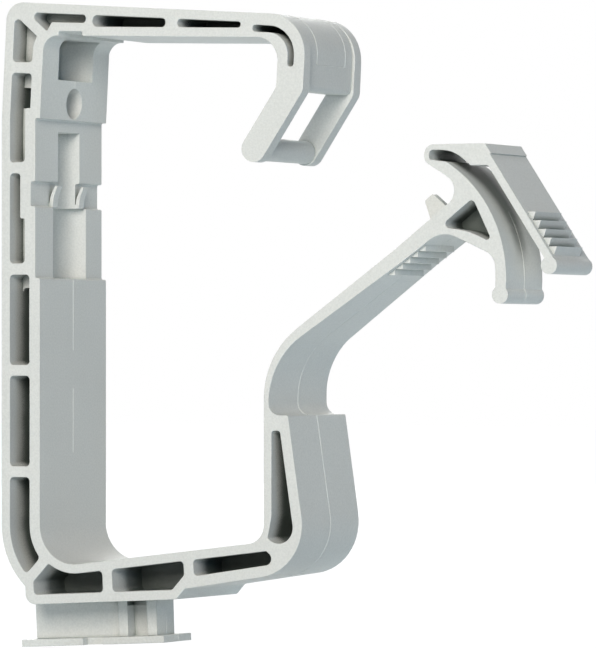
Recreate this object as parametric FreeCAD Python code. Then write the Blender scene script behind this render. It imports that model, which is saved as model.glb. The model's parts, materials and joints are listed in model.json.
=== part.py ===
import FreeCAD, Part
import math
import os

# Cable clip moulded in one piece: a ribbed C-shaped frame with a hook, a hinged arm with a snap
# head that closes on the hook, and a T-shaped foot that slides into a rail.
# X leaves the wall, Y runs through the depth and Z is up. The origin is where the screw's axis
# meets the wall. Lengths are in millimetres, angles in degrees, and outlines lie in the X-Z plane.

# Whole moulding, with its depth taken at the wall
DEPTH = 28.2
FACE_TAPER = 1.0
MID_WEB = 2.0
OUTER_WALL = 2.0
INNER_WALL = 2.5
RIB = 2.3
POCKET_R = 0.9
EDGE_R = 0.4
ARM_LEAN = 3.0

# Spine, with its levels measured down from the screw's axis
SPINE = 9.2
SCREW_R = 3.25
SCREW_BOSS = 1.8
STEP_DROP = 3.5
SLOT_LENGTH = 13.2
CATCH_LENGTH = 5.2
WINDOW_LENGTH = 15.0
LOWER_LENGTH = 60.7
KEY_SINK = 1.1
FIRST_RIB = 7.4
RIB_PITCH = 21.2
RIB_COUNT = 5
LEAN_R = 60.0

# Keyhole through the spine, with two catches beside its slot
SLOT_WIDTH = 9.0
SLOT_LEAD = 2.5
WINDOW_WIDTH = 14.4
SIDE_WALL = 1.4
CATCH_BAND = 0.8
CATCH_GAP = 0.7

# Recess in the upper inner corner of the spine
RECESS_LOW = 8.8
RECESS_HIGH = 17.4

# Top arm and hook, with heights measured up from the spine's step
HEADROOM = 17.7
TOP_ARM = 6.9
ARM_DRAFT = 1.0
TOP_R = 3.8
CORNER_R = 3.2
GROOVE_GAP = 0.3
GROOVE_LENGTH = 5.6
GROOVE_SINK = 0.95
BRACE_TILT = 38.0
BRACE_SINK = 2.2
BRACE_CORNER_R = 1.5
REACH = 70.2
HOOK_BAND = 6.1
HOOK_R = 8.5
HOOK_INNER_R = 5.0
HOOK_DROP = 8.0
LEG_TILT = 31.3
LEG_LENGTH = 18.7
LEG_BAND = 5.5
LEG_BEND_R = 3.0
HOOK_CHEEK = 3.0
HOOK_SINK = 0.6
WINDOW_LIP_R = 1.2
BAR_SINK = 0.35

# Slots along the top arm
SLOT_WALL = 1.95
LONG_SLOT_START = 20.6
LONG_SLOT_SHARE = 0.54
SLOT_GAP = 2.8
BEND_SLOT = 1.4
BEND_SLOT_LEAD = 3.7
BEND_WALL = 2.45
BEND_SLOT_END = 4.8
CORNER_SLOT = 1.7
CORNER_SLOT_END = 19.0

# Bottom arm, its base block and the wall that carries the hinge
KNEE_R = 8.0
KNEE_STRAIGHT = 11.15
KNEE_TURN = 45.0
KNEE_LEAD = 0.9
KNEE_RIB = 46.5
FLOOR_RISE = 4.0
FLOOR_WALL = 1.9
CABLE_WIDTH = 52.4
BASE_HEIGHT = 7.4
BASE_LENGTH = 31.8
BASE_R = 2.2
CHAMFER = 2.1
LOW_RISE = 5.7
LOW_RIB = 15.9
WALL_INNER_R = 4.0
WALL_OUTER_R = 11.0
WALL_HEIGHT = 32.3
WALL_FLARE = 8.5
WALL_SKIN = 1.75
WALL_CROWN = 3.1
WALL_BULGE = 0.9
CORNER_RIB_TILT = 38.0
LEDGE = 5.5

# Hinged arm
HINGE = 1.1
HINGE_RISE = 12.5
HINGE_R = 2.5
ARM_BEND_R = 17.0
ARM_ANGLE = 36.2
ARM_FLARE = 1.15
ARM_LENGTH = 56.7
TAPER_START = 15.0
CLASP_GAP = 1.2

# Snap head, drawn about the centre of its curved jaw
JAW_DROP = 2.6
JAW_R = 27.4
JAW_BAND = 2.4
JAW_UP = 23.0
JAW_DOWN = 43.5
NOTCH_TURN = 15.0
STRUT_TURN = 28.0
POCKET_TURN = 20.0
POCKET_TILT = 52.0
POCKET_BOW = 8.0
POCKET_BOW_R = 14.0
BEAD_R = 1.8
NOTCH_R = 3.4
STRUT_TILT = 60.4
STRUT_BACK = 11.1
STRUT_R = 6.0
STRUT_JAW_R = 3.5
FOLD_R = 2.1
FOLD_SKIN = 1.1
FOLD_TURN = 29.6
PLATE_TILT = 36.2
LEVER_STAND = 6.2
LEVER_TILT = 2.6
LEVER_BAND = 1.6
LEVER_LENGTH = 18.3
LIP_LENGTH = 2.4
LIP = 0.3
BULB_R = 1.75
CUSP = 3.3

# Teeth on the lever and under the arm, and the fin behind the notch
TOOTH_PITCH = 2.1
TOOTH_COUNT = 5
TOOTH_INSET = 1.2
LEVER_TEETH_START = 6.4
ARM_TEETH_GAP = 5.1
FIN_BACK = 16.0
FIN_BASE = 6.4
FIN_HEIGHT = 6.2
FIN_TOP = 2.3
FIN_LEAN = 2.5
FIN_WIDTH = 1.8

# T-shaped foot under the base block
STEM_HEIGHT = 7.6
STEM_WIDTH = 5.0
STEM_WEB = 1.5
STEM_INSET = 1.7
FLANGE_BACK = 9.9
FLANGE_LENGTH = 34.3
FLANGE_WIDTH = 12.0
FLANGE = 1.5
FOOT_RIB_WIDTH = 7.4
FOOT_RIB_GAP = 4.6
FOOT_RIB_INSET = 2.7
FLANGE_NOTCH = 4.7
FLANGE_NOTCH_SINK = 2.0
FLANGE_NOTCH_START = 14.9

# Room that a cutting solid takes past the face it cuts
PAST = 2.0

FACE = DEPTH / 2
DEEP = FACE - MID_WEB / 2
SIDE_DEPTH = FACE - WINDOW_WIDTH / 2 - SIDE_WALL
BOSS_DEPTH = FACE - SCREW_R - SCREW_BOSS
HOOK_INSIDE = FACE - REACH * math.tan(math.radians(FACE_TAPER)) - HOOK_CHEEK
HEAD_HALF = HOOK_INSIDE - CLASP_GAP

Z_STEP = -STEP_DROP
Z_CATCH = Z_STEP - SLOT_LENGTH
Z_WINDOW = Z_CATCH - CATCH_LENGTH
Z_LOWER = Z_WINDOW - WINDOW_LENGTH
Z_FLOOR = Z_LOWER - LOWER_LENGTH
Z_LEDGE = Z_FLOOR + WALL_HEIGHT
X_WALL = SPINE + CABLE_WIDTH
FLOOR_ANGLE = ARM_LEAN + FLOOR_RISE
LOW_ANGLE = ARM_LEAN + LOW_RISE


def frame(origin, angle):
    """Axes at an angle: a function from (along, up, corner radius) in them to (x, z, radius)."""
    turn = math.radians(angle)
    cos_turn, sin_turn = math.cos(turn), math.sin(turn)

    def point(along, up, radius=0.0):
        x = origin[0] + along * cos_turn - up * sin_turn
        z = origin[1] + along * sin_turn + up * cos_turn
        return (x, z, radius)

    return point


def polar(centre, radius, angle, corner=0.0):
    """A corner at a radius and an angle from a centre."""
    turn = math.radians(angle)
    return (centre[0] + radius * math.cos(turn), centre[1] + radius * math.sin(turn), corner)


def meet(first, first_angle, second, second_angle, radius=0.0):
    """The corner where two lines cross, each given by a point and a direction."""
    a, b = math.radians(first_angle), math.radians(second_angle)
    across = (second[0] - first[0]) * math.sin(b) - (second[1] - first[1]) * math.cos(b)
    reach = across / math.sin(b - a)
    return (first[0] + reach * math.cos(a), first[1] + reach * math.sin(a), radius)


def outline(corners):
    """A face in the X-Z plane from (x, z, radius) corners, each rounded by its own radius."""
    points = [FreeCAD.Vector(x, 0, z) for x, z, radius in corners]
    bends = []
    for i, here in enumerate(points):
        radius = corners[i][2]
        back = (points[i - 1] - here).normalize()
        ahead = (points[(i + 1) % len(points)] - here).normalize()
        half = back.getAngle(ahead) / 2
        if radius == 0.0:
            bends.append((here, here, here))
            continue
        reach = radius / math.tan(half)
        middle = (back + ahead).normalize() * (radius / math.sin(half) - radius)
        bends.append((here + back * reach, here + middle, here + ahead * reach))
    edges = []
    for i, (start, middle, end) in enumerate(bends):
        if corners[i][2] > 0.0:
            edges.append(Part.Arc(start, middle, end).toShape())
        following = bends[(i + 1) % len(bends)][0]
        if end.distanceToPoint(following) > 1e-6:
            edges.append(Part.LineSegment(end, following).toShape())
    return Part.Face(Part.Wire(edges))


def prism(corners, front, back):
    """An outline carried through the depth from y = front to y = back."""
    face = outline(corners)
    face.translate(FreeCAD.Vector(0, front, 0))
    return face.extrude(FreeCAD.Vector(0, back - front, 0))


def disc(centre, radius, half):
    """A round bar along the depth."""
    base = FreeCAD.Vector(centre[0], -half, centre[1])
    return Part.makeCylinder(radius, 2 * half, base, FreeCAD.Vector(0, 1, 0))


def box(corner_a, corner_b, half, radius=0.0):
    """A square bar along the depth between two corners of its section."""
    (xa, za), (xb, zb) = corner_a, corner_b
    return prism([(xa, za, radius), (xb, za, radius), (xb, zb, radius), (xa, zb, radius)], -half, half)


def pocket(corners, depth):
    """The same pocket sunk from the front face and from the back face."""
    front = prism(corners, -FACE - PAST, -FACE + depth)
    back = prism(corners, FACE - depth, FACE + PAST)
    return [front, back]


def tan(angle):
    return math.tan(math.radians(angle))


def cos(angle):
    return math.cos(math.radians(angle))


# The leaning frames of the two arms, and the centre of the bend between spine and bottom arm
top = frame((0.0, Z_STEP), -ARM_LEAN)
base = frame((SPINE, Z_FLOOR), ARM_LEAN)
leg = frame(top(REACH, HOOK_DROP), -90.0 - LEG_TILT - ARM_LEAN)
knee_rise = KNEE_R * (1.0 + math.sin(math.radians(FLOOR_ANGLE))) / cos(FLOOR_ANGLE)
knee = (SPINE + KNEE_R, Z_FLOOR + knee_rise)


def underside(along):
    """Height of the top arm's underside, which rises towards the hook."""
    return HEADROOM + (along - SPINE) * tan(ARM_DRAFT)


def crown(along):
    """Height of the top arm's upper face, which falls towards the hook."""
    return HEADROOM + TOP_ARM - along * tan(ARM_DRAFT)


def rib_level(i):
    """Height of the middle of a rib of the spine, counted from the top. The knee sets the last one."""
    if i == RIB_COUNT - 1:
        return knee[1] + KNEE_STRAIGHT
    return FIRST_RIB - i * RIB_PITCH


def base_corners():
    """Lower left corners of the base block: the knee, the block's back and its underside."""
    outer_r = KNEE_R + SPINE
    bend = polar(knee, outer_r / cos(KNEE_TURN / 2), 180.0 + KNEE_TURN / 2, outer_r)
    lead = frame(polar(knee, outer_r, 180.0 + KNEE_TURN), KNEE_TURN - 90.0)(KNEE_LEAD, 0.0, KNEE_LEAD / 2)
    foot = meet(lead, 90.0 + ARM_LEAN, base(0.0, -BASE_HEIGHT), ARM_LEAN, BASE_R)
    return bend, lead, foot


def low_line():
    """Where the lower edge of the bottom arm starts, above the base block's chamfer."""
    return base(BASE_LENGTH + CHAMFER, CHAMFER - BASE_HEIGHT)


def frame_body():
    """The C-shaped frame: spine, top arm with its hook, bottom arm and hinge wall."""
    bend, lead, foot = base_corners()
    thin = SPINE - KEY_SINK
    thinner = thin - KEY_SINK
    groove_start = SPINE + CORNER_R + GROOVE_GAP
    groove_end = groove_start + GROOVE_LENGTH
    inside = REACH - HOOK_BAND
    leg_angle = -90.0 - LEG_TILT - ARM_LEAN
    corners = [
        bend,
        (0.0, Z_STEP, LEAN_R),
        top(0.0, crown(0.0), TOP_R),
        top(REACH, crown(REACH), HOOK_R),
        top(REACH, HOOK_DROP, LEG_BEND_R),
        leg(LEG_LENGTH, 0.0, LEG_BAND / 2),
        leg(LEG_LENGTH, -LEG_BAND, LEG_BAND / 2),
        meet(leg(0.0, -LEG_BAND), leg_angle, top(inside, 0.0), 90.0 - ARM_LEAN, LEG_BEND_R),
        top(inside, underside(inside), HOOK_INNER_R),
        top(groove_end, underside(groove_end), EDGE_R),
        top(groove_end, underside(groove_end) + GROOVE_SINK, EDGE_R),
        top(groove_start, underside(groove_start) + GROOVE_SINK, EDGE_R),
        top(groove_start, underside(groove_start)),
        top(SPINE, underside(SPINE), CORNER_R),
        top(SPINE, SPINE * tan(ARM_LEAN)),
        (thin, Z_STEP, EDGE_R),
        (thin, Z_CATCH, EDGE_R),
        (thinner, Z_CATCH, EDGE_R),
        (thinner, Z_WINDOW, EDGE_R),
        (thin, Z_WINDOW, EDGE_R),
        (thin, Z_LOWER, EDGE_R),
        (SPINE, Z_LOWER, EDGE_R),
        (SPINE, Z_FLOOR, KNEE_R),
        (X_WALL, Z_FLOOR + CABLE_WIDTH * tan(FLOOR_ANGLE), WALL_INNER_R),
        (X_WALL, Z_LEDGE, 0.0),
        (X_WALL + LEDGE, Z_LEDGE, EDGE_R),
        meet((X_WALL + LEDGE, Z_LEDGE), WALL_FLARE - 90.0, low_line(), LOW_ANGLE, WALL_OUTER_R),
        base(BASE_LENGTH + CHAMFER, CHAMFER - BASE_HEIGHT, CHAMFER / 2),
        base(BASE_LENGTH, -BASE_HEIGHT, CHAMFER / 2),
        foot,
        lead,
    ]
    return prism(corners, -FACE, FACE)


def follow(centre, radius, start, end, past, past_angle, corner):
    """Two corners that take an edge round an arc and on, tangent to it, to a line that ends it."""
    middle, half = (start + end) / 2, abs(end - start) / 2
    side = math.copysign(90.0, end - start)
    bend = polar(centre, radius / cos(half), middle, radius)
    stop = meet(polar(centre, radius, end), end + side, past, past_angle, corner)
    return [bend, stop]


def spine_pockets():
    """Pockets between the spine's ribs, shallow beside the recess, the screw and the keyhole."""
    half = RIB / 2
    wide = SPINE - INNER_WALL
    thin = wide - KEY_SINK
    thinner = thin - KEY_SINK
    beside_screw = [
        (OUTER_WALL, Z_STEP, 0.0),
        top(OUTER_WALL, rib_level(0) - half - Z_STEP, POCKET_R),
        top(wide, rib_level(0) - half - Z_STEP, POCKET_R),
        top(wide, INNER_WALL, EDGE_R),
        top(thin, INNER_WALL, EDGE_R),
        (thin, rib_level(1) + half, POCKET_R),
        (OUTER_WALL, rib_level(1) + half, POCKET_R),
    ]
    below_recess = [
        top(OUTER_WALL, INNER_WALL),
        top(OUTER_WALL, RECESS_LOW - OUTER_WALL),
        top(wide, RECESS_LOW - OUTER_WALL),
        top(wide, INNER_WALL),
    ]
    beside_window = [
        (OUTER_WALL, rib_level(1) - half, POCKET_R),
        (thinner, rib_level(1) - half, POCKET_R),
        (thinner, Z_WINDOW - INNER_WALL, EDGE_R),
        (thin, Z_WINDOW - INNER_WALL, EDGE_R),
        (thin, rib_level(2) + half, POCKET_R),
        (OUTER_WALL, rib_level(2) + half, POCKET_R),
    ]
    cuts = pocket(beside_screw, SIDE_DEPTH)
    cuts += pocket(below_recess, BOSS_DEPTH)
    cuts += pocket(beside_window, SIDE_DEPTH)
    for i in range(2, RIB_COUNT - 1):
        upper, lower = rib_level(i) - half, rib_level(i + 1) + half
        cuts += pocket(upright(OUTER_WALL, wide, lower, upper), SIDE_DEPTH)
        cuts += pocket(upright(OUTER_WALL, wide, lower, min(upper, Z_LOWER - OUTER_WALL)), DEEP)
    return cuts


def upright(left, right, lower, upper):
    """Corners of an upright pocket with rounded corners."""
    sides = [(left, lower), (left, upper), (right, upper), (right, lower)]
    return [(x, z, POCKET_R) for x, z in sides]


def knee_pockets():
    """The pockets either side of the radial rib where the spine turns into the bottom arm."""
    half = RIB / 2
    wide = SPINE - INNER_WALL
    bend, lead, foot = base_corners()
    last_rib = rib_level(RIB_COUNT - 1) - half
    rib_angle = 180.0 + KNEE_RIB
    rib = frame(knee, rib_angle)
    turn_end = rib_angle - KNEE_RIB / 4
    outer = follow(knee, KNEE_R + SPINE - OUTER_WALL, 180.0, turn_end, rib(0, -half), rib_angle, POCKET_R)
    inner = follow(knee, KNEE_R + INNER_WALL, 180.0, turn_end, rib(0, -half), rib_angle, POCKET_R)
    above = [(OUTER_WALL, last_rib, POCKET_R)] + outer + inner[::-1] + [(wide, last_rib, POCKET_R)]

    floor = frame((SPINE, Z_FLOOR), FLOOR_ANGLE)
    block = frame(foot, ARM_LEAN)
    floor_turn = 270.0 + FLOOR_ANGLE
    rib_side = rib_angle + KNEE_RIB / 4
    top_edge = follow(knee, KNEE_R + FLOOR_WALL, floor_turn, rib_side, rib(0, half), rib_angle, POCKET_R / 2)
    upright_edge = base(LOW_RIB - half, 0.0)
    below = [
        block(OUTER_WALL, OUTER_WALL, POCKET_R),
        base(LOW_RIB - half, OUTER_WALL - BASE_HEIGHT, POCKET_R),
        meet(upright_edge, 90.0 + ARM_LEAN, floor(0, -FLOOR_WALL), FLOOR_ANGLE, POCKET_R),
    ] + top_edge + [
        meet(rib(0, half), rib_angle, block(OUTER_WALL, 0.0), 90.0 + ARM_LEAN, POCKET_R),
    ]
    return pocket(above, DEEP) + pocket(below, DEEP)


def bottom_pockets():
    """Pockets along the bottom arm and up the hinge wall."""
    half = RIB / 2
    side = 90.0 + ARM_LEAN
    floor = frame((SPINE, Z_FLOOR), FLOOR_ANGLE)
    low = frame(low_line(), LOW_ANGLE)
    block_end = BASE_LENGTH + CHAMFER
    slant = OUTER_WALL * (math.sqrt(2.0) - 1.0)
    middle = [
        base(LOW_RIB + half, OUTER_WALL - BASE_HEIGHT, POCKET_R),
        base(BASE_LENGTH - slant, OUTER_WALL - BASE_HEIGHT, POCKET_R),
        base(block_end, CHAMFER - BASE_HEIGHT + OUTER_WALL * math.sqrt(2.0), POCKET_R),
        meet(base(block_end, 0.0), side, floor(0, -FLOOR_WALL), FLOOR_ANGLE, POCKET_R),
        meet(base(LOW_RIB + half, 0.0), side, floor(0, -FLOOR_WALL), FLOOR_ANGLE, POCKET_R),
    ]
    corner = (X_WALL, Z_FLOOR + CABLE_WIDTH * tan(FLOOR_ANGLE))
    rib = frame(corner, -CORNER_RIB_TILT)
    far_side = base(block_end + RIB, 0.0)
    end = [
        meet(far_side, side, low(0, RIB), LOW_ANGLE, POCKET_R),
        meet(low(0, RIB), LOW_ANGLE, rib(0, -half), -CORNER_RIB_TILT, POCKET_R * 1.5),
        meet(rib(0, -half), -CORNER_RIB_TILT, floor(0, -FLOOR_WALL), FLOOR_ANGLE, POCKET_R / 2),
        meet(far_side, side, floor(0, -FLOOR_WALL), FLOOR_ANGLE, POCKET_R),
    ]
    flare = WALL_FLARE - 90.0
    outer = (X_WALL + LEDGE - RIB / cos(WALL_FLARE), Z_LEDGE)
    inner = (X_WALL + WALL_SKIN, Z_LEDGE - WALL_CROWN)
    wall = [
        (inner[0], inner[1], POCKET_R * 0.8),
        meet(outer, flare, inner, 0.0, POCKET_R * 0.8),
        meet(outer, flare, rib(0, half), -CORNER_RIB_TILT, POCKET_R * 3.6),
        meet((inner[0] - WALL_BULGE, 0.0), 90.0, rib(0, half), -CORNER_RIB_TILT, POCKET_R / 2),
        (inner[0], corner[1] + WALL_INNER_R * 1.3, WALL_INNER_R * 1.5),
    ]
    return pocket(middle, DEEP) + pocket(end, DEEP) + pocket(wall, DEEP)


def top_pockets():
    """Pockets of the upper corner, either side of its brace, and the slots along the top arm."""
    half = RIB / 2
    wide = SPINE - INNER_WALL
    inner_corner = top(SPINE, underside(SPINE))
    brace_angle = 180.0 - BRACE_TILT - ARM_LEAN
    brace = frame(inner_corner, brace_angle)
    bend_centre = top(SPINE + CORNER_R, underside(SPINE) - CORNER_R)
    spine_side = 180.0 - ARM_LEAN
    edge = follow(bend_centre, CORNER_R + INNER_WALL, spine_side, spine_side - BRACE_TILT * 0.6,
                  brace(0, half), brace_angle, EDGE_R)
    first_rib = rib_level(0) + half - Z_STEP
    below = [
        top(OUTER_WALL, first_rib, POCKET_R),
        meet(top(OUTER_WALL, 0.0), spine_side - 90.0, brace(0, half), brace_angle, POCKET_R),
    ] + edge[::-1] + [top(wide, first_rib, POCKET_R)]

    crown_angle = -ARM_DRAFT - ARM_LEAN
    roof = top(0.0, crown(0.0) - OUTER_WALL)
    slot_r = CORNER_SLOT * 0.48
    slot_roof = crown(CORNER_SLOT_END) - OUTER_WALL
    slot_floor = slot_roof - CORNER_SLOT
    above = [
        brace(0, -half, EDGE_R),
        meet(roof, crown_angle, brace(0, -half), brace_angle, POCKET_R),
        top(CORNER_SLOT_END, slot_roof, slot_r),
        top(CORNER_SLOT_END, slot_floor, slot_r),
        top(SPINE + CORNER_SLOT, slot_floor, EDGE_R),
    ]
    cuts = pocket(below, SIDE_DEPTH) + pocket(above, SIDE_DEPTH)
    cuts += brace_slopes(below[1], above[1])

    bend_start = REACH - HOOK_R - BEND_SLOT_LEAD
    short_end = bend_start - SLOT_GAP
    long_end = LONG_SLOT_START + (short_end - SLOT_GAP - LONG_SLOT_START) * LONG_SLOT_SHARE
    for start, end in ((LONG_SLOT_START, long_end), (long_end + SLOT_GAP, short_end)):
        cuts += pocket(arm_slot(start, end), DEEP)
    return cuts + pocket(bend_slot(bend_start), DEEP)


def brace_slopes(lower_side, upper_side):
    """The brace's outer faces, which slope down from the inner corner to an open outer corner."""
    half = RIB / 2
    inner_corner = top(SPINE, underside(SPINE))
    brace_angle = 180.0 - BRACE_TILT - ARM_LEAN
    brace = frame(inner_corner, brace_angle)
    start, end = brace(0.0, 0.0), top(OUTER_WALL, crown(OUTER_WALL) - OUTER_WALL, BRACE_CORNER_R)
    length = math.dist(start[:2], end[:2])
    region = [brace(EDGE_R, half), lower_side, end, upper_side, brace(EDGE_R, -half)]
    slopes = []
    for side in (-1.0, 1.0):
        ring = [(0.0, FACE), (length + RIB, FACE), (length + RIB, FACE - BRACE_SINK)]
        points = []
        for along, depth in ring:
            x, z, radius = brace(along, -SPINE)
            points.append(FreeCAD.Vector(x, side * depth, z))
        x, z, radius = frame((0.0, 0.0), brace_angle)(0.0, 2 * SPINE)
        wedge = Part.Face(Part.makePolygon(points + points[:1])).extrude(FreeCAD.Vector(x, 0, z))
        slopes.append(wedge.common(prism(region, -FACE - PAST, FACE + PAST)))
    return slopes


def arm_slot(start, end):
    """Corners of a round-ended slot that keeps an even wall to both faces of the tapering arm."""
    corners = []
    for along, order in ((start, 1), (end, -1)):
        high, low = crown(along) - SLOT_WALL, underside(along) + SLOT_WALL
        radius = (high - low) * 0.48
        corners += [top(along, low, radius), top(along, high, radius)][::order]
    return corners


def bend_slot(start):
    """Corners of the curved slot that follows the hook's shoulder."""
    radius = BEND_SLOT * 0.48
    end = HOOK_DROP + BEND_SLOT_END
    sides = []
    for sink in (BEND_WALL, BEND_WALL + BEND_SLOT):
        sides.append([
            top(start, crown(start) - sink, radius),
            top(REACH - sink, crown(REACH) - sink, HOOK_R - sink),
            top(REACH - sink, end, radius),
        ])
    return sides[0] + sides[1][::-1]


def hook_cuts():
    """The sunken middle of the hook's outer face, and the window between its two cheeks."""
    start, face = REACH - HOOK_R, REACH - HOOK_SINK
    lip = HOOK_DROP + 2 * WINDOW_LIP_R
    panel = [
        top(start, crown(start) + PAST),
        top(start, crown(start)),
        top(face, crown(REACH) - HOOK_SINK, HOOK_R - HOOK_SINK),
        top(face, lip),
        top(REACH + PAST, lip),
        top(REACH + PAST, crown(start) + PAST),
    ]
    window = [
        top(REACH + PAST, lip),
        top(face, lip),
        top(face, HOOK_DROP, WINDOW_LIP_R),
        top(REACH - HOOK_BAND - PAST, HOOK_DROP),
        leg(LEG_LENGTH + PAST, -LEG_BAND - PAST),
        leg(LEG_LENGTH + PAST, PAST),
        top(REACH + PAST, HOOK_DROP),
    ]
    return [prism(panel, -HOOK_INSIDE, HOOK_INSIDE), prism(window, -HOOK_INSIDE, HOOK_INSIDE)]


def hook_bar():
    """The round bar between the tips of the hook's two cheeks."""
    centre = leg(LEG_LENGTH - LEG_BAND / 2, -LEG_BAND / 2)
    return disc(centre, LEG_BAND / 2 - BAR_SINK, HOOK_INSIDE + HOOK_CHEEK / 2)


def keyhole_cuts():
    """The screw's bore, the recess above it and the keyhole below it."""
    reach = SPINE + PAST
    start = FreeCAD.Vector(-PAST, 0, 0)
    bore = Part.makeCylinder(SCREW_R, reach + PAST, start, FreeCAD.Vector(1, 0, 0))
    recess = [
        top(OUTER_WALL, RECESS_LOW),
        top(OUTER_WALL, RECESS_HIGH),
        top(reach, RECESS_HIGH),
        top(reach, RECESS_LOW),
    ]
    half = WINDOW_WIDTH / 2
    slot = box((-PAST, Z_WINDOW), (reach, Z_STEP - SLOT_LEAD), SLOT_WIDTH / 2)
    window = box((-PAST, Z_LOWER), (reach, Z_WINDOW), half)
    return [bore, prism(recess, -half, half), slot, window]


def catches():
    """Two bent fingers beside the slot that hold what is slid into the keyhole."""
    root = SPINE - 2 * KEY_SINK
    tip = Z_CATCH - CATCH_GAP
    middle = (Z_WINDOW + tip) / 2
    corners = [
        (root - CATCH_BAND / 2, Z_WINDOW, 0.0),
        (root + CATCH_BAND * 1.2, Z_WINDOW, 0.0),
        (root + CATCH_BAND * 1.5, middle, CATCH_BAND * 6),
        (SPINE, tip, EDGE_R / 2),
        (SPINE - CATCH_BAND * 0.8, tip, EDGE_R / 2),
        (root + CATCH_BAND * 0.5, middle, CATCH_BAND * 5),
        (root + CATCH_BAND * 0.2, Z_WINDOW + CATCH_BAND, 0.0),
        (root - CATCH_BAND / 2, Z_WINDOW + CATCH_BAND, 0.0),
    ]
    inner, outer = SLOT_WIDTH / 2, WINDOW_WIDTH / 2 - CATCH_GAP
    return [prism(corners, -outer, -inner), prism(corners, inner, outer)]


# The hinged arm's axes: one at the hinge's bend, one along each edge, and those of the head
bend_corner = (X_WALL, Z_LEDGE + HINGE_RISE)
arm = frame(bend_corner, ARM_ANGLE)
upper_angle, lower_angle = ARM_ANGLE + ARM_FLARE, ARM_ANGLE - ARM_FLARE
upper = frame(bend_corner, upper_angle)
lower_corner = (X_WALL + HINGE, bend_corner[1] - HINGE)
lower = frame(lower_corner, lower_angle)
jaw = arm(ARM_LENGTH - JAW_R, -JAW_DROP)
head = frame(jaw, ARM_ANGLE)
fold_centre = polar(jaw, JAW_R, ARM_ANGLE + FOLD_TURN)
fold = frame(fold_centre, ARM_ANGLE - PLATE_TILT)
lever_angle = ARM_ANGLE - 90.0 - LEVER_TILT
lever = frame(polar(jaw, JAW_R + LEVER_STAND, ARM_ANGLE - LEVER_TILT), lever_angle)


def jaw_point(radius, angle, corner=0.0):
    """A point of the head by its radius from the jaw's centre and its angle from the arm."""
    return polar(jaw, radius, ARM_ANGLE + angle, corner)


def strut_corner(radius=0.0):
    """Where the strut below the head's pocket leaves the arm."""
    return meet(lower_corner, lower_angle, head(JAW_R - STRUT_BACK, 0.0), upper_angle + 90.0, radius)


def arm_body():
    """The hinge, the arm and the strut that spreads it into the jaw."""
    inner_r = JAW_R - JAW_BAND
    strut_angle = ARM_ANGLE - STRUT_TILT
    band_r = JAW_R - JAW_BAND / 4
    root = X_WALL + HINGE + HINGE_R * 1.3
    corners = [
        (X_WALL, Z_LEDGE - PAST, 0.0),
        (X_WALL, bend_corner[1], ARM_BEND_R),
        meet(bend_corner, upper_angle, jaw_point(inner_r, NOTCH_TURN),
             ARM_ANGLE + NOTCH_TURN + 90.0, NOTCH_R),
        jaw_point(inner_r / cos(JAW_UP * 0.3), JAW_UP * 0.95),
        jaw_point(band_r, JAW_UP * 0.3),
        jaw_point(band_r, -JAW_DOWN * 0.3),
        jaw_point(inner_r / cos(STRUT_TURN * 0.3), -STRUT_TURN * 1.3),
        meet(jaw_point(inner_r, -STRUT_TURN), ARM_ANGLE - STRUT_TURN + 90.0,
             strut_corner(), strut_angle, STRUT_JAW_R),
        strut_corner(STRUT_R),
        (lower_corner[0], lower_corner[1], ARM_BEND_R - HINGE),
        (lower_corner[0], Z_LEDGE, HINGE_R),
        (root, Z_LEDGE, 0.0),
        (root, Z_LEDGE - PAST, 0.0),
    ]
    return prism(corners, -FACE, FACE)


def jaw_body():
    """The curved jaw and the bead along its tip."""
    inner_r = JAW_R - JAW_BAND
    middle = (JAW_UP - JAW_DOWN) / 2
    ends = [jaw_point(r, a) for r, a in ((JAW_R, JAW_UP), (JAW_R, middle), (JAW_R, -JAW_DOWN),
                                         (inner_r, -JAW_DOWN), (inner_r, middle), (inner_r, JAW_UP))]
    points = [FreeCAD.Vector(x, -FACE, z) for x, z, radius in ends]
    edges = [
        Part.Arc(*points[0:3]).toShape(),
        Part.LineSegment(points[2], points[3]).toShape(),
        Part.Arc(*points[3:6]).toShape(),
        Part.LineSegment(points[5], points[0]).toShape(),
    ]
    band = Part.Face(Part.Wire(edges)).extrude(FreeCAD.Vector(0, DEPTH, 0))
    tip = jaw_point(JAW_R - JAW_BAND / 2, -JAW_DOWN)
    return band.fuse(disc(tip, BEAD_R, FACE))


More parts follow.
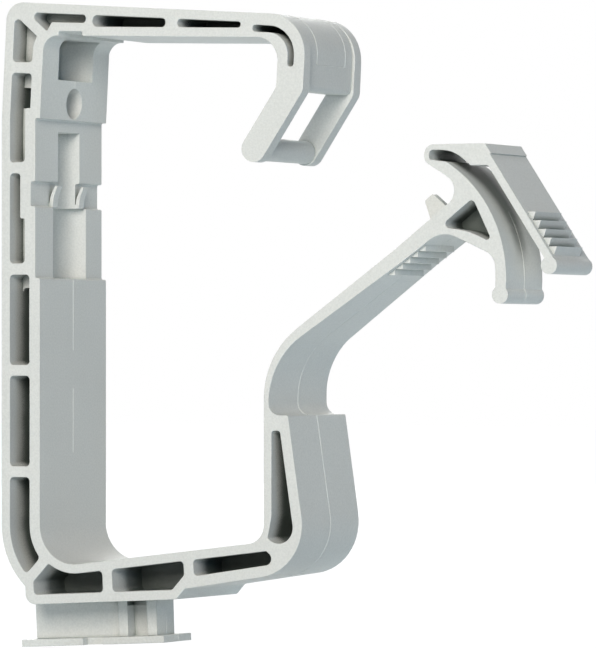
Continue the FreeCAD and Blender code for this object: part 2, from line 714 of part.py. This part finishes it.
def lever_body():
    """The thin fold above the jaw, the plate that leads on from it and the thumb lever."""
    inner_r = JAW_R - JAW_BAND
    plate_angle = ARM_ANGLE - PLATE_TILT
    slot_r = FOLD_R - FOLD_SKIN
    tangent = ARM_ANGLE + JAW_UP + 90.0
    plate_end = meet(fold(0.0, FOLD_R), plate_angle, lever(0.0, LIP), lever_angle, EDGE_R)
    lip_end = LIP_LENGTH - math.dist(plate_end[:2], lever(0.0, LIP)[:2])
    inside = meet(fold(0.0, slot_r - CUSP), plate_angle, lever(0.0, -LEVER_BAND), lever_angle, FOLD_SKIN)
    cusp = frame(inside, plate_angle)(-LEVER_BAND * 2.4, 0.0, EDGE_R)
    corners = [
        jaw_point(inner_r, JAW_UP),
        meet(jaw_point(inner_r, JAW_UP), tangent, fold(-FOLD_R, 0.0), plate_angle + 90.0, FOLD_R * 0.9),
        fold(-FOLD_R, FOLD_R, FOLD_R),
        plate_end,
        lever(lip_end, LIP),
        lever(lip_end, 0.0),
        lever(LEVER_LENGTH, 0.0),
        lever(LEVER_LENGTH, -LEVER_BAND),
        inside,
        cusp,
        fold(FOLD_R * 2, slot_r, FOLD_R * 4),
        fold(-slot_r, slot_r, slot_r * 0.9),
        fold(-slot_r, -slot_r, slot_r * 0.6),
        jaw_point(JAW_R, JAW_UP),
        jaw_point(JAW_R - JAW_BAND / 2, JAW_UP * 0.8),
    ]
    bulb = disc(lever(LEVER_LENGTH, -LEVER_BAND), BULB_R, FACE)
    return prism(corners, -FACE, FACE).fuse(bulb)


def head_taper():
    """The arm's outline seen from above it: full depth at the hinge, the head's width at the jaw."""
    far = ARM_LENGTH + JAW_R + LEVER_STAND
    start, end = -TAPER_START, ARM_LENGTH - STRUT_BACK * 2
    sides = [(-far, FACE), (start, FACE), (end, HEAD_HALF), (far, HEAD_HALF)]
    ring = sides + [(along, -half) for along, half in sides[::-1]]
    points = []
    for along, y in ring:
        x, z, radius = arm(along, -far)
        points.append(FreeCAD.Vector(x, y, z))
    face = Part.Face(Part.makePolygon(points + points[:1]))
    x, z, radius = frame((0.0, 0.0), ARM_ANGLE)(0.0, 2 * far)
    return face.extrude(FreeCAD.Vector(x, 0, z))


def head_pocket():
    """The three-cornered pocket between arm, jaw and strut, sunk from both faces of the head."""
    inner_r = JAW_R - JAW_BAND
    low_right = jaw_point(inner_r + EDGE_R, -POCKET_TURN, POCKET_R * 0.7)
    jaw_angle = ARM_ANGLE - POCKET_TURN / 2 + 90.0
    arm_edge = upper(0.0, -INNER_WALL)
    low_angle = ARM_ANGLE - POCKET_TILT
    low_left = meet(arm_edge, upper_angle, low_right, low_angle, POCKET_R)
    corners = [
        low_left,
        meet(arm_edge, upper_angle, low_right, jaw_angle, POCKET_R),
        low_right,
        meet(low_left, low_angle + POCKET_BOW, low_right, low_angle - POCKET_BOW, POCKET_BOW_R),
    ]
    web = MID_WEB / 2
    return [prism(corners, -FACE, -web), prism(corners, web, FACE)]


def arm_teeth():
    """Steps under the arm, just short of the strut."""
    half = HEAD_HALF - TOOTH_INSET
    end = math.dist(lower_corner, strut_corner()[:2]) - ARM_TEETH_GAP
    ends = [end - i * TOOTH_PITCH for i in range(TOOTH_COUNT)]
    return [step(lower, end, end - TOOTH_PITCH, half) for end in ends]


def lever_teeth():
    """Grip steps on the lever's outer face."""
    half = HEAD_HALF - TOOTH_INSET
    starts = [LEVER_TEETH_START + i * TOOTH_PITCH for i in range(TOOTH_COUNT)]
    return [step(lever, start + TOOTH_PITCH, start, half) for start in starts]


def step(axes, upright_at, level_at, half):
    """A step on a slope: upright below one point of the slope, level with the other."""
    upright_end = axes(upright_at, 0.0)
    level_end = axes(level_at, 0.0)
    corners = [upright_end, (upright_end[0], level_end[1], 0.0), level_end]
    return prism(corners, -half, half)


def fin():
    """The fin behind the notch that centres the hook's bar."""
    foot = frame(upper(math.dist(bend_corner, jaw[:2]) + JAW_R - FIN_BACK, 0.0), upper_angle)
    corners = [
        foot(0.0, -INNER_WALL / 2),
        foot(FIN_LEAN, FIN_HEIGHT, EDGE_R),
        foot(FIN_LEAN + FIN_TOP, FIN_HEIGHT, EDGE_R),
        foot(FIN_BASE, -INNER_WALL / 2),
    ]
    return prism(corners, -FIN_WIDTH / 2, FIN_WIDTH / 2)


def foot_body():
    """The T-shaped foot: a ribbed stem under the base block and the flange that the rail holds."""
    flange_top = -BASE_HEIGHT - STEM_HEIGHT
    stem_start = STEM_INSET - FLANGE_BACK
    flange_end = FLANGE_LENGTH - FLANGE_BACK
    last_rib = flange_end - FOOT_RIB_INSET
    first_rib = last_rib - FOOT_RIB_GAP - RIB
    seat = -BASE_HEIGHT + OUTER_WALL / 2
    flange = bar(-FLANGE_BACK, flange_end, flange_top - FLANGE, flange_top, FLANGE_WIDTH)
    wall = bar(stem_start, first_rib, flange_top, seat, STEM_WIDTH)
    web = bar(first_rib - RIB, last_rib, flange_top, seat, STEM_WEB)
    ribs = [bar(end - RIB, end, flange_top, seat, FOOT_RIB_WIDTH) for end in (first_rib, last_rib)]
    whole = flange.multiFuse([wall, web] + ribs)
    start = FLANGE_NOTCH_START - FLANGE_BACK
    notch = bar(start, start + FLANGE_NOTCH, flange_top - FLANGE - PAST, flange_top, FLANGE_WIDTH + PAST)
    core = bar(start, start + FLANGE_NOTCH, flange_top - FLANGE - PAST, flange_top,
               FLANGE_WIDTH - 2 * FLANGE_NOTCH_SINK)
    return whole.cut(notch.cut(core))


def bar(start, end, low, high, width):
    """A block of the foot, square to the leaning base."""
    corners = [base(start, low), base(end, low), base(end, high), base(start, high)]
    return prism(corners, -width / 2, width / 2)


def plan():
    """The clip's outline seen from above: both faces draw in a little away from the wall."""
    far = X_WALL + ARM_LENGTH + JAW_R
    tip = FACE - far * tan(FACE_TAPER)
    ring = [(-PAST, FACE), (0.0, FACE), (far, tip), (far, -tip), (0.0, -FACE), (-PAST, -FACE)]
    points = [FreeCAD.Vector(x, y, -2 * far) for x, y in ring]
    face = Part.Face(Part.makePolygon(points + points[:1]))
    return face.extrude(FreeCAD.Vector(0, 0, 3 * far))


os.makedirs("parts", exist_ok=True)
frame_cuts = spine_pockets() + knee_pockets() + bottom_pockets() + top_pockets()
frame_cuts += hook_cuts() + keyhole_cuts()
clip_frame = frame_body().cut(frame_cuts)
closing_arm = arm_body().multiFuse([jaw_body(), lever_body()]).common(head_taper())
closing_arm = closing_arm.cut(head_pocket())
additions = [closing_arm, foot_body(), fin(), hook_bar()] + catches() + arm_teeth() + lever_teeth()
cable_clip = clip_frame.multiFuse(additions).common(plan()).removeSplitter()
cable_clip.exportStep("parts/cable_clip.step")
print("valid", cable_clip.isValid(), "solids", len(cable_clip.Solids), "volume", round(cable_clip.Volume))
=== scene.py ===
import bpy
import json
import math
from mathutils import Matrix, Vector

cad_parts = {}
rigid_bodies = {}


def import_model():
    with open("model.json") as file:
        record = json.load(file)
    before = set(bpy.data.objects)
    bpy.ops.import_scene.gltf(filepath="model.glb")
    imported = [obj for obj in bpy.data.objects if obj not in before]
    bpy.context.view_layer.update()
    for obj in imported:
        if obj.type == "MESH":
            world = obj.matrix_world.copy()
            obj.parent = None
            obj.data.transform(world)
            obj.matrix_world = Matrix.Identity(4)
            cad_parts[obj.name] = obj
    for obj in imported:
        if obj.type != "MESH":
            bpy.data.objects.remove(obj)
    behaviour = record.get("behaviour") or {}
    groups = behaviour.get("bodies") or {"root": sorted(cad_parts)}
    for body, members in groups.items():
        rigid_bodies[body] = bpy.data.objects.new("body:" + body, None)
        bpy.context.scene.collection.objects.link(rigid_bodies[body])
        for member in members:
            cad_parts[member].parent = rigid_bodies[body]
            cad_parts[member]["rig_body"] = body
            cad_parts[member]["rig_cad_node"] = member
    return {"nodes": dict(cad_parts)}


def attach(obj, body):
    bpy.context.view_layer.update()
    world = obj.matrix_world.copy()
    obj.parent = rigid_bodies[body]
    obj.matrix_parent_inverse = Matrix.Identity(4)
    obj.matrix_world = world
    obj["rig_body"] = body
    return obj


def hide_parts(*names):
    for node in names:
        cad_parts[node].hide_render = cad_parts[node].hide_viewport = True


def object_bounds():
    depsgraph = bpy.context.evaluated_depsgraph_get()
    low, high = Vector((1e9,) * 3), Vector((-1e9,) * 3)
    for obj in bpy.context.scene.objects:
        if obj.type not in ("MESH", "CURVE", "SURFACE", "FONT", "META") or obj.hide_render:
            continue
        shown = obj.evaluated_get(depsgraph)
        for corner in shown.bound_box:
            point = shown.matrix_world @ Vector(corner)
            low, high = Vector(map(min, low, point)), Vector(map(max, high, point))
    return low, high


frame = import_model()
cad_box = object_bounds()


# The clip itself: one injection moulding in light grey polypropylene, made in a two-part tool and
# screwed to a wall through the hole near the spine's top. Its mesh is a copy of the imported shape, with
# its teeth and openings corrected, its rims rounded and the tool's fine raised lines added.
WELD = 0.000002
FLAT_ENOUGH = math.radians(0.4)
FINE_WORK = {
    "keyhole": ((0.0045, 0.0105), (-0.0390, -0.0015)),
    "window": ((-0.0010, 0.0110), (-0.0375, -0.0220)),
    "ledge": ((0.0600, 0.0690), (-0.0685, -0.0620)),
    "hook_lip": ((0.0550, 0.0720), (-0.0200, 0.0045)),
    "arm_teeth": ((0.0810, 0.0980), (-0.0440, -0.0270)),
    "lever_teeth": ((0.1120, 0.1260), (-0.0470, -0.0100)),
    "grip": ((0.1155, 0.1260), (-0.0470, -0.0100)),
    "notch": ((0.0900, 0.1010), (-0.0230, -0.0080)),
}

bpy.ops.object.select_all(action="DESELECT")
clip_node = frame["nodes"]["cable_clip"]
clip = clip_node.copy()
clip.data = clip_node.data.copy()
clip.name = "clip_moulding"
clip.parent = None
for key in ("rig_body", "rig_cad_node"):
    del clip[key]
bpy.context.scene.collection.objects.link(clip)
clip.select_set(True)
bpy.context.view_layer.objects.active = clip

bpy.ops.mesh.customdata_custom_splitnormals_clear()
bpy.ops.object.mode_set(mode="EDIT")
bpy.ops.mesh.select_all(action="SELECT")
bpy.ops.mesh.mark_sharp(clear=True)
bpy.ops.mesh.remove_doubles(threshold=WELD)
bpy.ops.mesh.dissolve_limited(angle_limit=FLAT_ENOUGH)
bpy.ops.object.mode_set(mode="OBJECT")


def pick(thing, kind, test):
    """Selects only the corners, edges or faces that pass a test, and leaves the thing in edit mode."""
    if thing.mode == "EDIT":
        bpy.ops.object.mode_set(mode="OBJECT")
    mesh = thing.data
    kinds = {"VERT": mesh.vertices, "EDGE": mesh.edges, "FACE": mesh.polygons}
    for parts in kinds.values():
        parts.foreach_set("select", [False] * len(parts))
    for part in kinds[kind]:
        part.select = test(part)
    bpy.context.tool_settings.mesh_select_mode = [kind == name for name in kinds]
    bpy.ops.object.mode_set(mode="EDIT")


def within(spot, name):
    """True for a spot inside one of the boxes of fine work, whatever its depth."""
    across, rise = FINE_WORK[name]
    return across[0] < spot.x < across[1] and rise[0] < spot.z < rise[1]


# The teeth, the window's near wall and the recess, as far as they move
FACES_THAT_WAY = 0.95
TOOTH_CUT = {"arm_teeth": 0.0016, "lever_teeth": 0.0025}
TOOTH_END_LARGEST = 0.000003
TOOTH_END_DEEPEST = 0.0095
TOOTH_HOOK = 0.0007
TOOTH_HEIGHT = (0.0012, 0.0024)
TIP_BAND = 0.0002
WINDOW_SIDE = -0.0072
WINDOW_BAND = 0.0002
WINDOW_SHIFT = 0.0006
RECESS_MIDDLE = 0.001
RECESS_RISE = (0.004, 0.015)
RECESS_FLOOR_BELOW = 0.0035
RECESS_SINK = 0.0009


def is_tooth_end(face, name):
    """True for the far end face of a tooth in one row, under the arm or on the lever."""
    if face.center.y > TOOTH_END_DEEPEST or face.area > TOOTH_END_LARGEST:
        return False
    return face.normal.y >= FACES_THAT_WAY and within(face.center, name)


def tooth_tips(mesh):
    """The corners along the outer top edge of each grip tooth on the lever."""
    tips = set()
    for face in mesh.polygons:
        heights = {index: mesh.vertices[index].co.z for index in face.vertices}
        top = max(heights.values())
        is_tall = TOOTH_HEIGHT[0] < top - min(heights.values()) < TOOTH_HEIGHT[1]
        if is_tall and face.normal.x > FACES_THAT_WAY and within(face.center, "grip"):
            tips.update(index for index in heights if heights[index] > top - TIP_BAND)
    return tips


def is_window_side(face):
    """True for the near side wall of the window in the spine."""
    is_near = abs(face.center.y - WINDOW_SIDE) < WINDOW_BAND
    return is_near and face.normal.y > FACES_THAT_WAY and within(face.center, "window")


def is_recess_floor(face):
    """True for the floor of the blind recess near the spine's top."""
    is_low = abs(face.center.y) < RECESS_MIDDLE and face.center.x < RECESS_FLOOR_BELOW
    is_there = RECESS_RISE[0] < face.center.z < RECESS_RISE[1]
    return is_low and is_there and face.normal.x > FACES_THAT_WAY


for row, cut in TOOTH_CUT.items():
    pick(clip, "FACE", lambda face: is_tooth_end(face, row))
    bpy.ops.transform.translate(value=(0.0, -cut, 0.0))
pick(clip, "FACE", is_recess_floor)
bpy.ops.transform.translate(value=(-RECESS_SINK, 0.0, 0.0))
tips = tooth_tips(clip.data)
pick(clip, "VERT", lambda corner: corner.index in tips)
bpy.ops.transform.translate(value=(TOOTH_HOOK, 0.0, 0.0))
pick(clip, "FACE", is_window_side)
bpy.ops.transform.translate(value=(0.0, WINDOW_SHIFT, 0.0))
bpy.ops.object.mode_set(mode="OBJECT")

# The fine raised lines left by the tool
LINE_HALF = 0.00013
LINE_RISE = 0.00009
LINE_SINK = 0.00001
LINE_TOP_BAND = 0.00001
LINE_FOOT_BEYOND = 0.00005
LINE_FACING = 0.15
CUT_TOUCH = 1e-7
DEPTH_AXIS = 1
RISE_AXIS = 2
OUTWARD = (1, 0, 0)
UNDER_ARM = (0.6, 0, -0.8)
SPINE_SKIN = (0.0085, 0.0098)
HOOK_SKIN = (0.0560, 0.0720)
PANEL_RISE = (0.0064, 0.0185)
PANEL_NEAR = -0.0060
PANEL_FAR = 0.0066
PANEL_FOOT_ACROSS = (0.0680, 0.0720)
PANEL_FOOT_DEPTH = (-0.0061, 0.0067)


def along(axis):
    """The vector of length one along an axis."""
    return [float(axis == i) for i in range(3)]


def raised_line(name, low, high, axis, facing):
    """A fine ridge on the skin inside a box, along the middle of one axis of the box."""
    bpy.ops.object.select_all(action="DESELECT")
    ridge = clip.copy()
    ridge.data = clip.data.copy()
    ridge.name = name
    bpy.context.scene.collection.objects.link(ridge)
    ridge.select_set(True)
    bpy.context.view_layer.objects.active = ridge
    bpy.ops.object.mode_set(mode="EDIT")

    def slice_at(place, square, **clear):
        bpy.ops.mesh.select_all(action="SELECT")
        bpy.ops.mesh.bisect(plane_co=place, plane_no=square, threshold=CUT_TOUCH, **clear)

    for side in range(3):
        slice_at(low, along(side), clear_inner=True)
        slice_at(high, along(side), clear_outer=True)
    middle = (low[axis] + high[axis]) / 2
    slice_at([middle * part for part in along(axis)], along(axis))
    pick(ridge, "FACE", lambda face: sum(face.normal[i] * facing[i] for i in range(3)) < LINE_FACING)
    bpy.ops.mesh.delete(type="FACE")
    pick(ridge, "VERT", lambda corner: abs(corner.co[axis] - middle) < LINE_TOP_BAND)
    bpy.ops.transform.shrink_fatten(value=LINE_RISE)
    pick(ridge, "VERT", lambda corner: abs(corner.co[axis] - middle) > LINE_FOOT_BEYOND)
    bpy.ops.transform.shrink_fatten(value=-LINE_SINK)
    bpy.ops.object.mode_set(mode="OBJECT")
    return ridge


def middle_line(name, x_range, z_range, y=0.0, facing=OUTWARD):
    """A raised line through the depth's middle, or beside it, on the faces that face one way."""
    low = (x_range[0], y - LINE_HALF, z_range[0])
    high = (x_range[1], y + LINE_HALF, z_range[1])
    return raised_line(name, low, high, DEPTH_AXIS, facing)


lines = [
    middle_line("line_above_hole", SPINE_SKIN, (0.0034, 0.0051)),
    middle_line("line_spine", SPINE_SKIN, (-0.0520, -0.0372)),
    middle_line("line_spine_low", SPINE_SKIN, (-0.0735, -0.0600)),
    middle_line("line_wall", (0.0610, 0.0720), (-0.0985, -0.0500)),
    middle_line("line_arm", (0.0640, 0.1100), (-0.0500, -0.0200), facing=UNDER_ARM),
    middle_line("line_jaw", (0.1100, 0.1146), (-0.0420, -0.0240)),
    middle_line("line_foot_end", (0.0200, 0.0600), (-0.1125, -0.1062), y=0.0003),
    middle_line("line_panel_near", HOOK_SKIN, PANEL_RISE, y=PANEL_NEAR),
    middle_line("line_panel_far", HOOK_SKIN, PANEL_RISE, y=PANEL_FAR),
]
panel_low = (PANEL_FOOT_ACROSS[0], PANEL_FOOT_DEPTH[0], PANEL_RISE[0] - LINE_HALF)
panel_high = (PANEL_FOOT_ACROSS[1], PANEL_FOOT_DEPTH[1], PANEL_RISE[0] + LINE_HALF)
lines.append(raised_line("line_panel_foot", panel_low, panel_high, RISE_AXIS, OUTWARD))

# The rounded rims, and the even shading of the finished skin
RIM_ROUND = 0.00015
RIM_STEPS = 3
RIM_PROFILE = 0.5
WALL_LEAN_MOST = 0.35
SMOOTH_BELOW = math.radians(32)


def faces_beside(mesh):
    """The faces on each side of every edge, by the edge's two corners."""
    beside = {}
    for face in mesh.polygons:
        for pair in face.edge_keys:
            beside.setdefault(pair, []).append(face)
    return beside


beside = faces_beside(clip.data)


def is_rim(edge):
    """True for an outward edge between a face square to the depth and a wall, clear of fine work."""
    sides = beside[edge.key]
    if len(sides) != 2:
        return False
    flat, wall = sorted(sides, key=lambda face: -abs(face.normal.y))
    if abs(flat.normal.y) < FACES_THAT_WAY or abs(wall.normal.y) > WALL_LEAN_MOST:
        return False
    ends = [clip.data.vertices[index].co for index in edge.vertices]
    if any(within(end, name) for end in ends for name in FINE_WORK):
        return False
    return flat.normal.dot(wall.center - ends[0]) < 0


bpy.ops.object.select_all(action="DESELECT")
clip.select_set(True)
bpy.context.view_layer.objects.active = clip
pick(clip, "EDGE", is_rim)
bpy.ops.mesh.bevel(
    offset=RIM_ROUND,
    segments=RIM_STEPS,
    profile=RIM_PROFILE,
    affect="EDGES",
    clamp_overlap=False,
)
bpy.ops.mesh.select_all(action="SELECT")
bpy.ops.mesh.quads_convert_to_tris(quad_method="BEAUTY", ngon_method="BEAUTY")
bpy.ops.object.mode_set(mode="OBJECT")
for line in lines:
    line.select_set(True)
bpy.ops.object.join()
bpy.ops.object.shade_smooth_by_angle(angle=SMOOTH_BELOW)
even = clip.modifiers.new("even_shading", "WEIGHTED_NORMAL")
even.keep_sharp = True
bpy.ops.object.modifier_apply(modifier="even_shading")


class Wire:
    """A socket of a material. Sums on it add Math nodes, and node adds any other kind."""

    def __init__(self, tree, socket=None):
        self.tree = tree
        self.socket = socket

    def node(self, kind, settings, sockets, output=0):
        made = self.tree.nodes.new("ShaderNode" + kind)
        for name, value in settings.items():
            setattr(made, name, value)
        for name, value in sockets.items():
            self.feed(made.inputs[name], value)
        return Wire(self.tree, made.outputs[output])

    def feed(self, socket, value):
        if isinstance(value, Wire):
            self.tree.links.new(value.socket, socket)
        else:
            socket.default_value = value

    def sum(self, operation, first, second):
        return self.node("Math", {"operation": operation}, {0: first, 1: second})

    def __add__(self, other):
        return self.sum("ADD", self, other)

    def __radd__(self, other):
        return self.sum("ADD", other, self)

    def __sub__(self, other):
        return self.sum("SUBTRACT", self, other)

    def __rsub__(self, other):
        return self.sum("SUBTRACT", other, self)

    def __mul__(self, other):
        return self.sum("MULTIPLY", self, other)

    def __rmul__(self, other):
        return self.sum("MULTIPLY", other, self)


# The plastic: a matt, finely grained skin with faint flow marks
PLASTIC = (0.735, 0.735, 0.705, 1)
PLASTIC_DULL = (0.62, 0.625, 0.60, 1)
# The next two colours are painted shade, not colours of the plastic: grey for creases and near black
# deep in the pockets.
PAINTED_CREASE_SHADE = (0.37, 0.40, 0.37, 1)
PAINTED_POCKET_SHADE = (0.075, 0.090, 0.079, 1)
PLASTIC_SPECULAR = 0.4
FLOW = {"Scale": 55.0, "Detail": 3.0}
GRAIN = {"Scale": 2600.0, "Detail": 2.0}
GRAIN_BAND = (0.25, 0.75)
FLOW_SHARE = 0.4
GRAIN_SHARE = 0.6
ROUGH_LEAST = 0.46
ROUGH_GRAIN = 0.16
GRAIN_BUMP = {"Strength": 0.35, "Distance": 0.00004}

plastic = bpy.data.materials.new("light_grey_polypropylene")
plastic.use_nodes = True
shader = plastic.node_tree.nodes["Principled BSDF"]
wire = Wire(plastic.node_tree)
place = wire.node("TexCoord", {}, {}, "Object")
flow = wire.node("TexNoise", {}, {"Vector": place, **FLOW})
grain = wire.node("TexNoise", {}, {"Vector": place, **GRAIN})


def ramp(value, ends):
    """Zero below the first end, one above the second, and a smooth rise between."""
    low, high = ends
    sockets = {"Value": value, "From Min": low, "From Max": high, "To Min": 0.0, "To Max": 1.0}
    return wire.node("MapRange", {"interpolation_type": "SMOOTHSTEP"}, sockets)


def mixed_colour(share, first, second):
    """The first colour where the share is zero, and the second where it is one."""
    share_socket, first_socket, second_socket, result = 0, 6, 7, 2
    sockets = {share_socket: share, first_socket: first, second_socket: second}
    return wire.node("Mix", {"data_type": "RGBA"}, sockets, result)


def openness(reach, samples):
    """One on an open skin, and less the more of the clip stands within reach of it."""
    settings = {"samples": samples, "only_local": True}
    return wire.node("AmbientOcclusion", settings, {"Distance": reach}, "AO")


# Painted shade in the base colour: darker in creases and near black deep in the pockets, but not in the
# spine's openings or the foot
POCKET_REACH = 0.012
POCKET_SAMPLES = 12
CREASE_REACH = 0.0016
CREASE_SAMPLES = 8
CREASE_OPEN = (0.25, 0.8)
KEYHOLE_ACROSS = (0.0052, 0.0058)
RECESS_FOOT = (0.0045, 0.0050)
WINDOW_FOOT = (-0.0400, -0.0395)
RECESS_TOP = (0.0145, 0.0150)
SPINE_FRONT = (0.0105, 0.0110)
OPENINGS_SIDE = (0.0080, 0.0085)
FOOT_TOP = (-0.1056, -0.1052)
HEAD_ACROSS = (0.090, 0.094)
HEAD_NARROWER = 0.0054
HIDDEN_OPEN = (0.2, 0.4)
HIDDEN_INSET = (0.0065, 0.0095)
NEAR_OPEN = (0.08, 0.22)
NEAR_INSET = (0.0085, 0.0125)

across = wire.node("SeparateXYZ", {}, {"Vector": place}, "X")
rise = wire.node("SeparateXYZ", {}, {"Vector": place}, "Z")
depth = wire.node("SeparateXYZ", {}, {"Vector": place}, "Y")
depth = wire.node("Math", {"operation": "ABSOLUTE"}, {0: depth})
wide = openness(POCKET_REACH, POCKET_SAMPLES)
tight = openness(CREASE_REACH, CREASE_SAMPLES)
openings = wire.sum("MAXIMUM", ramp(across, KEYHOLE_ACROSS), ramp(rise, RECESS_FOOT))
openings = openings * ramp(rise, WINDOW_FOOT) * (1.0 - ramp(rise, RECESS_TOP))
openings = openings * (1.0 - ramp(across, SPINE_FRONT)) * (1.0 - ramp(depth, OPENINGS_SIDE))
pocketed = (1.0 - openings) * ramp(rise, FOOT_TOP)
inset = depth + HEAD_NARROWER * ramp(across, HEAD_ACROSS)
hidden = (1.0 - ramp(wide, HIDDEN_OPEN)) * (1.0 - ramp(inset, HIDDEN_INSET))
near = wire.sum("MAXIMUM", ramp(wide, NEAR_OPEN), ramp(inset, NEAR_INSET))
lit = 1.0 - (1.0 - near * (1.0 - hidden)) * pocketed

tone = FLOW_SHARE * flow + GRAIN_SHARE * ramp(grain, GRAIN_BAND)
colour = mixed_colour(tone, PLASTIC_DULL, PLASTIC)
# Creases are painted darker grey in the base colour, as shade.
colour = mixed_colour(ramp(tight, CREASE_OPEN), PAINTED_CREASE_SHADE, colour)
# Deep in the pockets the base colour is painted near black, as shade.
colour = mixed_colour(lit, PAINTED_POCKET_SHADE, colour)
wire.feed(shader.inputs["Base Color"], colour)
wire.feed(shader.inputs["Roughness"], ROUGH_LEAST + ROUGH_GRAIN * grain)
wire.feed(shader.inputs["Normal"], wire.node("Bump", {}, {"Height": grain, **GRAIN_BUMP}))
shader.inputs["Specular IOR Level"].default_value = PLASTIC_SPECULAR
clip.data.materials.clear()
clip.data.materials.append(plastic)
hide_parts("cable_clip")
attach(clip, "root")


# The floor: a sheet of white card just under the clip's foot, which isn't part of the clip. To the
# camera and in gloss it shows as white with a faint shadow, and it throws a pale light up on the clip.
CARD_SIZE = 6.0
CARD_MIDDLE = (0.05, 0.0)
CARD_BELOW = 0.0005
CARD_COLOUR = (0.76, 0.84, 0.88, 1)
CARD_ROUGH = 0.9
CARD_GLOW = 1.1
CARD_GLOW_SHARE = 0.9
WHITE = (1, 1, 1, 1)


def looked_at(wire):
    """One for rays from the camera and for those seen in gloss or glass, zero for light on the clip."""
    kinds = ("Camera", "Glossy", "Transmission")
    direct, gloss, glass = [wire.node("LightPath", {}, {}, "Is %s Ray" % kind) for kind in kinds]
    return direct + gloss + glass


bpy.ops.object.select_all(action="DESELECT")
card_place = (*CARD_MIDDLE, cad_box[0][2] - CARD_BELOW)
bpy.ops.mesh.primitive_plane_add(size=CARD_SIZE, location=card_place)
floor = bpy.context.object
floor.name = "white_card"
card = bpy.data.materials.new("white_card")
card.use_nodes = True
wire = Wire(card.node_tree)
card_shader = card.node_tree.nodes["Principled BSDF"]
card_shader.inputs["Base Color"].default_value = CARD_COLOUR
card_shader.inputs["Roughness"].default_value = CARD_ROUGH
matt = Wire(card.node_tree, card_shader.outputs["BSDF"])
glow = wire.node("Emission", {}, {"Color": WHITE, "Strength": CARD_GLOW})
surface = wire.node("MixShader", {}, {0: looked_at(wire) * CARD_GLOW_SHARE, 1: matt, 2: glow})
wire.feed(card.node_tree.nodes["Material Output"].inputs["Surface"], surface)
floor.data.materials.append(card)


# The studio: white surroundings, which are no part of the clip. A soft lamp stands high beside the
# camera, a weak, cool one at the right, a large one hangs behind and above the clip's spine, and a
# weak one fills the clip's far side.
AMBIENT = 0.07
LAMP_AIM = (0.055, 0.0, -0.045)
LAMPS = {
    "key_lamp": {"place": (0.440, -1.240, 0.40), "size": 0.5, "power": 14.2, "tint": (1.0, 0.965, 0.91)},
    "side_lamp": {"place": (1.09, -0.60, -0.02), "size": 0.4, "power": 1.2, "tint": (0.10, 0.50, 1.0)},
    "top_lamp": {"place": (-0.55, 0.35, 1.15), "size": 1.2, "power": 12.0, "tint": (0.86, 0.95, 1.0)},
    "back_lamp": {"place": (-0.45, 1.20, 0.25), "size": 0.6, "power": 4.5, "tint": (1.0, 0.98, 0.95)},
}

world = bpy.data.worlds.new("white_studio")
bpy.context.scene.world = world
world.use_nodes = True
wire = Wire(world.node_tree)
background = world.node_tree.nodes["Background"]
wire.feed(background.inputs["Color"], WHITE)
wire.feed(background.inputs["Strength"], AMBIENT + (1.0 - AMBIENT) * looked_at(wire))


def soft_lamp(name, place, size, power, tint):
    """A square soft lamp of one tint at a place, turned to the clip's middle."""
    bpy.ops.object.light_add(type="AREA", location=place)
    lamp = bpy.context.object
    lamp.name = name
    lamp.data.size = size
    lamp.data.energy = power
    lamp.data.color = tint
    towards = [LAMP_AIM[i] - place[i] for i in range(3)]
    level = math.hypot(towards[0], towards[1])
    pitch = math.atan2(level, -towards[2])
    lamp.rotation_euler = (pitch, 0.0, math.atan2(-towards[0], towards[1]))


for name, lamp in LAMPS.items():
    soft_lamp(name, **lamp)


# The camera: a long lens about a metre away, so that the clip's sides stay nearly parallel. It is
# turned 27.5 degrees from the clip's middle plane, and looks very slightly up from a little below the
# clip's middle.
YAW = math.radians(27.5)
TILT = math.radians(0.35)
UPRIGHT = math.radians(90.0)
LENS = 277.8
SENSOR = 36.0
SIGHT_END = 20.0
VIEWPOINT = (0.53912, -0.91514, -0.0529)

eye = bpy.data.cameras.new("camera")
eye.sensor_fit = "VERTICAL"
eye.sensor_height = SENSOR
eye.lens = LENS
eye.clip_end = SIGHT_END
camera = bpy.data.objects.new("camera", eye)
camera.location = VIEWPOINT
camera.rotation_euler = (UPRIGHT + TILT, 0.0, YAW)
bpy.context.scene.collection.objects.link(camera)
bpy.context.scene.camera = camera
bpy.context.scene.view_settings.view_transform = "Standard"
